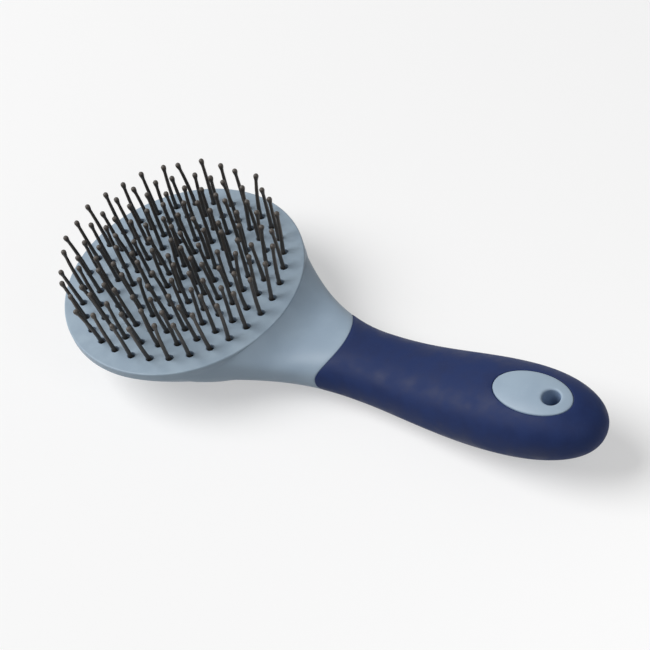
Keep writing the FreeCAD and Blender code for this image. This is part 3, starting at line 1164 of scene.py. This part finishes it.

# %% [markdown]
# ### Light blue plastic
#
# Body and lid are polypropylene in the same pale grey-blue with a satin skin. The lid is the
# flatter and slightly paler of the two and shows a few hairlines. The body is handled more, so
# its patches are larger. Their corners get a painted shade in a bluer tone, which on the body
# reaches far enough to darken the scoop behind the rim and the hanging hole. Their paler rubbed
# edges are partly wear and partly a painted highlight along the lid's rim.


# %% Light blue plastic for body and lid
def blue_plastic(name, deep, pale, patches, lines, reach, corner_shade):
    made, tree, shader, where = new_material(name, IOR=1.46, Specular_IOR_Level=0.42)
    tone = place(tree, cloudy_tone, Where=where, Patches=patches, Deep=deep, Pale=pale,
                 Shiny=0.40, Dull=0.52)
    # Paler rubbed edges: partly wear, partly a painted highlight along the lid's rim.
    worn = place(tree, rubbed_edges, Where=where, Start=0.52, Full=0.6, Amount=0.12)
    dusty = place(tree, settled_dust, Where=where, Specks=1400.0, Amount=0.10)
    # Painted shade in a bluer tone where the corners mask is: round the pin holes on the lid, and
    # over a wider reach the scoop behind the rim and the hanging hole on the body.
    corners = place(tree, shaded_corners, Reach=reach, Amount=corner_shade)
    scratched = place(tree, hairlines, Where=where, Amount=lines)
    painted(tree, shader, tone, (worn, (190, 203, 213)), (corners, (104, 130, 170)),
            (dusty, (205, 205, 200)))
    over(tree, shader, tone.outputs["Roughness"], scratched.outputs["Mask"], 0.7)
    textured(tree, shader, where, 0.00004, 0.35, Grain=2600.0, Sink=70.0, Sink_share=2.0)
    return made


lid_blue = blue_plastic("lid blue plastic", colour(146, 164, 180), colour(155, 173, 188),
                        120.0, 0.5, 0.0016, 0.3)
body_blue = blue_plastic("body blue plastic", colour(144, 162, 179), colour(152, 170, 186),
                         60.0, 0.3, 0.012, 0.6)
print(lid_blue.name, len(lid_blue.node_tree.nodes), "nodes")

# %% [markdown]
# ### Navy rubber
#
# The grip is a soft thermoplastic rubber. It is matt with a faint, patchy sheen, because the
# mould's grain prints unevenly in soft rubber and hands polish it. Its grain is coarser than
# the plastic's, and lint sticks to it more than to the blue plastic.


# %% Navy rubber for the grip
def navy_rubber():
    made, tree, shader, where = new_material(
        "navy rubber", IOR=1.5, Specular_IOR_Level=0.2, Sheen_Weight=0.02, Sheen_Roughness=0.5,
        Sheen_Tint=colour(120, 140, 190))
    tone = place(tree, cloudy_tone, Where=where, Patches=150.0, Deep=colour(18, 35, 77),
                 Pale=colour(25, 42, 85), Shiny=0.5, Dull=0.68)
    worn = place(tree, rubbed_edges, Where=where, Start=0.54, Full=0.66, Amount=0.3)
    dusty = place(tree, settled_dust, Where=where, Specks=2200.0, Bare=0.66, Amount=0.12)
    # Painted shade: dark navy where ambient occlusion finds the grip's edge and the windows.
    corners = place(tree, shaded_corners, Reach=0.0012, Amount=0.5)
    painted(tree, shader, tone, (worn, (58, 72, 112)), (corners, (16, 22, 40)),
            (dusty, (120, 128, 145)))
    over(tree, shader, tone.outputs["Roughness"], dusty.outputs["Mask"], 0.9)
    textured(tree, shader, where, 0.00008, 0.4, Grain=1500.0, Sink=90.0, Sink_share=1.5)
    return made


grip_rubber = navy_rubber()
print(grip_rubber.name, len(grip_rubber.node_tree.nodes), "nodes")

# %% [markdown]
# ### Nylon pins
#
# The pins are warm black nylon with a satin skin. They are darkest at the root and a touch
# browner towards the balls, where they are also duller from use.


# %% Warm black nylon for the pins
def pin_nylon():
    made, tree, shader, where = new_material("warm black nylon", IOR=1.53,
                                             Specular_IOR_Level=0.5)
    tone = place(tree, cloudy_tone, Where=where, Patches=260.0, Deep=colour(58, 53, 48),
                 Pale=colour(68, 61, 55), Shiny=0.38, Dull=0.52)
    up = place(tree, pin_height, Where=where, Start=0.45, End=1.0)
    worn = place(tree, rubbed_edges, Where=where, Start=0.5, Full=0.7, Amount=0.3)
    skin = blend(tree, maths(tree, "MULTIPLY", up.outputs["Share"], 0.2),
                 tone.outputs["Colour"], colour(70, 64, 58))
    skin = blend(tree, worn.outputs["Mask"], skin, colour(74, 68, 62))
    feed(tree, shader, Base_Color=skin)
    over(tree, shader, tone.outputs["Roughness"], up.outputs["Share"], 0.5)
    textured(tree, shader, where, 0.00004, 0.4, Grain=2400.0, Sink=400.0, Sink_share=0.6)
    return made


pin_black = pin_nylon()
print(pin_black.name, len(pin_black.node_tree.nodes), "nodes")

# %% [markdown]
# ### Behind the lid
#
# The mat is black rubber sheet with a talcum bloom, seen only down the pin holes. The clamping
# disc is plain black plastic, turned out of a rough mould. Neither is ever handled, so they get
# grain, clouds and dust, but no worn edges.


# %% Black rubber for the mat, black plastic for the disc
def hidden_black(name, deep, pale, shiny, dull, grain, dust):
    made, tree, shader, where = new_material(name, IOR=1.5, Specular_IOR_Level=0.35)
    tone = place(tree, cloudy_tone, Where=where, Patches=90.0, Deep=deep, Pale=pale,
                 Shiny=shiny, Dull=dull)
    dusty = place(tree, settled_dust, Where=where, Specks=1100.0, Bare=0.55, Amount=dust)
    # Painted shade: near black where ambient occlusion finds a corner.
    corners = place(tree, shaded_corners, Reach=0.002, Amount=0.4)
    painted(tree, shader, tone, (corners, (12, 12, 13)), (dusty, (150, 148, 142)))
    over(tree, shader, tone.outputs["Roughness"], dusty.outputs["Mask"], 0.95)
    textured(tree, shader, where, 0.0001, 0.5, Grain=grain, Sink=120.0, Sink_share=0.8)
    return made


mat_black = hidden_black("mat rubber", colour(40, 42, 44), colour(50, 52, 54), 0.75, 0.9,
                         1200.0, 0.35)
disc_black = hidden_black("disc plastic", colour(34, 35, 38), colour(42, 43, 46), 0.45, 0.6,
                          1800.0, 0.15)
print(mat_black.name, disc_black.name)


# %% Every piece gets its finish
def finish_piece(piece, material):
    piece.data.materials.clear()
    piece.data.materials.append(material)


finish_piece(lid, lid_blue)
finish_piece(shell, body_blue)
finish_piece(grip, grip_rubber)
for piece in pins:
    finish_piece(piece, pin_black)
finish_piece(nodes["pin_mat"], mat_black)
finish_piece(nodes["clamping_disc"], disc_black)
print("finished pieces", 5 + len(pins))

# %% [markdown]
# ## Floor, light and camera
#
# The brush lies on a plain white floor under one large soft box from the left, high enough to
# reach between the pins. A small weak one stands near the handle's end, which the large one
# only grazes, and a weak even light comes from all round. Together they light a level surface
# so that a colour looks about as it is written. The world is white only where it is looked at
# or mirrored, so that the light stays soft. The camera looks down across the handle through a
# long lens, which keeps near and far parts close to their true sizes.

# %% Floor
FLOOR_HALF = 3.0
FLOOR_GREY, FLOOR_SEEN = (0.5, 0.5, 0.5, 1), 0.45


def seen_directly(tree):
    """1 for what the camera sees, straight or in gloss or glass, and 0 for other light."""
    path = node(tree, "LightPath")
    seen = maths(tree, "MAXIMUM", path.outputs["Is Camera Ray"], path.outputs["Is Glossy Ray"])
    return maths(tree, "MAXIMUM", seen, path.outputs["Is Transmission Ray"])


def paper():
    made, tree, shader, where = new_material("white paper", Base_Color=FLOOR_GREY,
                                             Roughness=0.9, Specular_IOR_Level=0.1,
                                             Emission_Color=(1, 1, 1, 1))
    feed(tree, shader, Emission_Strength=maths(tree, "MULTIPLY", seen_directly(tree), FLOOR_SEEN))
    textured(tree, shader, where, 0.00002, 0.2, Grain=1500.0, Sink=30.0, Sink_share=0.2)
    return made


floor_mesh = bpy.data.meshes.new("floor")
floor_mesh.from_pydata([(x, y, 0) for x, y in square(FLOOR_HALF)], [], [(0, 1, 2, 3)])
floor = in_scene("floor", floor_mesh)
floor_mesh.materials.append(paper())
print("floor", 2 * FLOOR_HALF, "m")

# %% Even light from all round
WORLD_LIGHT = 0.16
WORLD_SEEN = 0.95

world = bpy.data.worlds.new("studio")
bpy.context.scene.world = world
world.use_nodes = True
sky_tree = world.node_tree
sky = sky_tree.nodes["Background"]
strength = maths(sky_tree, "MULTIPLY", seen_directly(sky_tree), WORLD_SEEN - WORLD_LIGHT)
feed(sky_tree, sky, Color=(1, 1, 1, 1),
     Strength=maths(sky_tree, "ADD", strength, WORLD_LIGHT))
print("world", WORLD_LIGHT, "seen as", WORLD_SEEN)

# %% The soft boxes
KEY_TARGET, KEY_FROM = (-0.02, 0, 0.02), Vector((-0.55, -0.25, 0.8)).normalized()
KEY_AWAY, KEY_SIZE, KEY_POWER = 3.0, 2.3, 95.0
FILL_TARGET, FILL_FROM = (0.09, 0, 0.02), Vector((0.62, -0.25, 0.74)).normalized()
FILL_AWAY, FILL_SIZE, FILL_POWER = 0.25, 0.12, 0.11


def soft_box(name, target, towards, away, size, power):
    """A round lamp at a distance from its target, facing it."""
    lamp = bpy.data.lights.new(name, "AREA")
    lamp.shape = "DISK"
    lamp.size = size
    lamp.energy = power
    box = in_scene(name, lamp)
    box.location = Vector(target) + towards * away
    box.rotation_euler = (-towards).to_track_quat("-Z", "Y").to_euler()
    print(name, "at", [round(v, 2) for v in box.location])


soft_box("key", KEY_TARGET, KEY_FROM, KEY_AWAY, KEY_SIZE, KEY_POWER)
soft_box("fill", FILL_TARGET, FILL_FROM, FILL_AWAY, FILL_SIZE, FILL_POWER)

# %% Camera
CAMERA_EYE = (375.815, -290.246, 451.747)
CAMERA_RIGHT = (0.82176, 0.52246, -0.22749)
CAMERA_UP = (-0.27440, 0.71269, 0.64558)
CAMERA_BACK = (0.49942, -0.46809, 0.72902)

camera_data = bpy.data.cameras.new("camera")
camera_data.sensor_width = 36
camera_data.lens = 94.15
camera = in_scene("camera", camera_data)
eye = LAID @ Vector(CAMERA_EYE)
turn = LAID.to_3x3().normalized()
axes = Matrix([turn @ Vector(axis) for axis in (CAMERA_RIGHT, CAMERA_UP, CAMERA_BACK)])
camera.matrix_world = Matrix.Translation(eye) @ axes.transposed().to_4x4()
bpy.context.scene.camera = camera
bpy.context.scene.view_settings.view_transform = "Standard"
print("camera at", [round(v, 3) for v in eye], "lens", camera_data.lens)
